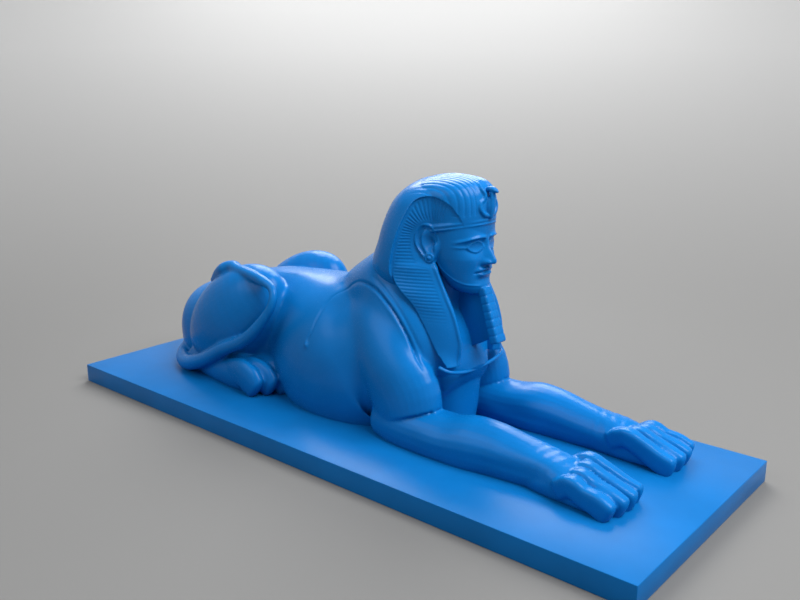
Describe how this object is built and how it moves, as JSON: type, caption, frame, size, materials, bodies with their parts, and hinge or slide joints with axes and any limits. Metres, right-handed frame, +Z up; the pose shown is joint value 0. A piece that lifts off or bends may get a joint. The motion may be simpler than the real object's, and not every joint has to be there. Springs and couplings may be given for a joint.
{
  "type": "sphinx statue",
  "caption": "Couching sphinx statuette: lion's body with a crowned human head in a striped headcloth, plaited beard and curled tail, lying on its own flat rectangular slab.",
  "frame": {"origin": "centre of the slab's underside", "axes": "+X the way the sphinx faces along the slab's length, +Y to the sphinx's left, +Z up"},
  "size_m": [0.505, 0.185, 0.1915],
  "materials": {
    "figure": "satin blue cast or printed plastic",
    "slab": "satin blue plastic, flat"
  },
  "bodies": {
    "root": {"sphinx": "figure", "plinth": "slab"}
  },
  "joints": []
}
